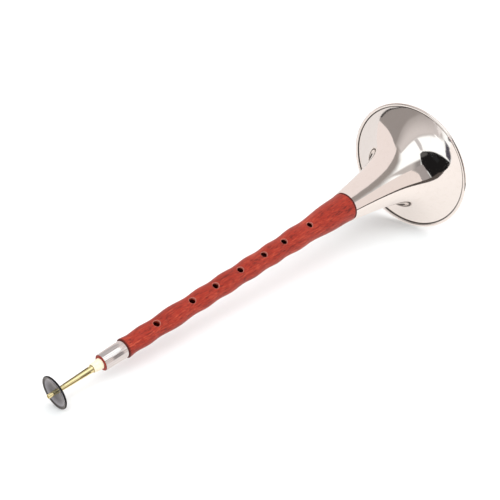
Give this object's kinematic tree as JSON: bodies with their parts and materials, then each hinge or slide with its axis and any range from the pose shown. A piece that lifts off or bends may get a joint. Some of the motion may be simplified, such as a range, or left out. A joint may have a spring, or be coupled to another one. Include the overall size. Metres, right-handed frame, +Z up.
{
  "type": "suona",
  "caption": "Conical double-reed horn: waved wooden pipe with finger holes, flared metal bell, metal staple and black lip disc, lying on its disc and bell rim.",
  "frame": {"origin": "centre of the footprint of the whole instrument, on the surface it lies on", "axes": "+X along the instrument's level direction from the lip disc to the bell, +Y to the left of that direction, +Z up; the pipe's own axis rises by 6.84 degrees towards the bell, in the XZ plane"},
  "size_m": [0.4604, 0.1358, 0.135],
  "materials": {
    "pipe_wood": "red-brown rosewood with a satin varnish and fine lengthwise grain",
    "ferrule_alloy": "silver alloy, turned and lightly polished",
    "tenon_thread": "waxed cotton thread wound in close turns",
    "bell_plating": "mirror-bright nickel plating on spun sheet",
    "rim_wire_steel": "bare drawn wire, hidden in the rim",
    "staple_brass": "pale polished brass tube",
    "sleeve_plastic": "cream moulded plastic, smooth satin",
    "disc_plastic": "high-gloss black"
  },
  "bodies": {
    "pipe": {"pipe": "pipe_wood", "top_ferrule": "ferrule_alloy", "bell_tenon_thread": "tenon_thread"},
    "bell": {"bell": "bell_plating", "bell_rim_wire": "rim_wire_steel"},
    "staple": {"staple_tube": "staple_brass", "staple_sleeve": "sleeve_plastic"},
    "lip_disc": {"lip_disc": "disc_plastic"}
  },
  "joints": [
    {"name": "bell_pull", "type": "slide", "parent": "pipe", "child": "bell", "axis": [0.9929, 0, 0.119], "range_m": [0, 0.03]},
    {"name": "staple_pull", "type": "slide", "parent": "pipe", "child": "staple", "axis": [-0.9929, 0, -0.119], "range_m": [0, 0.025]},
    {"name": "disc_slide", "type": "slide", "parent": "staple", "child": "lip_disc", "axis": [-0.9929, 0, -0.119], "range_m": [0, 0.015]}
  ]
}
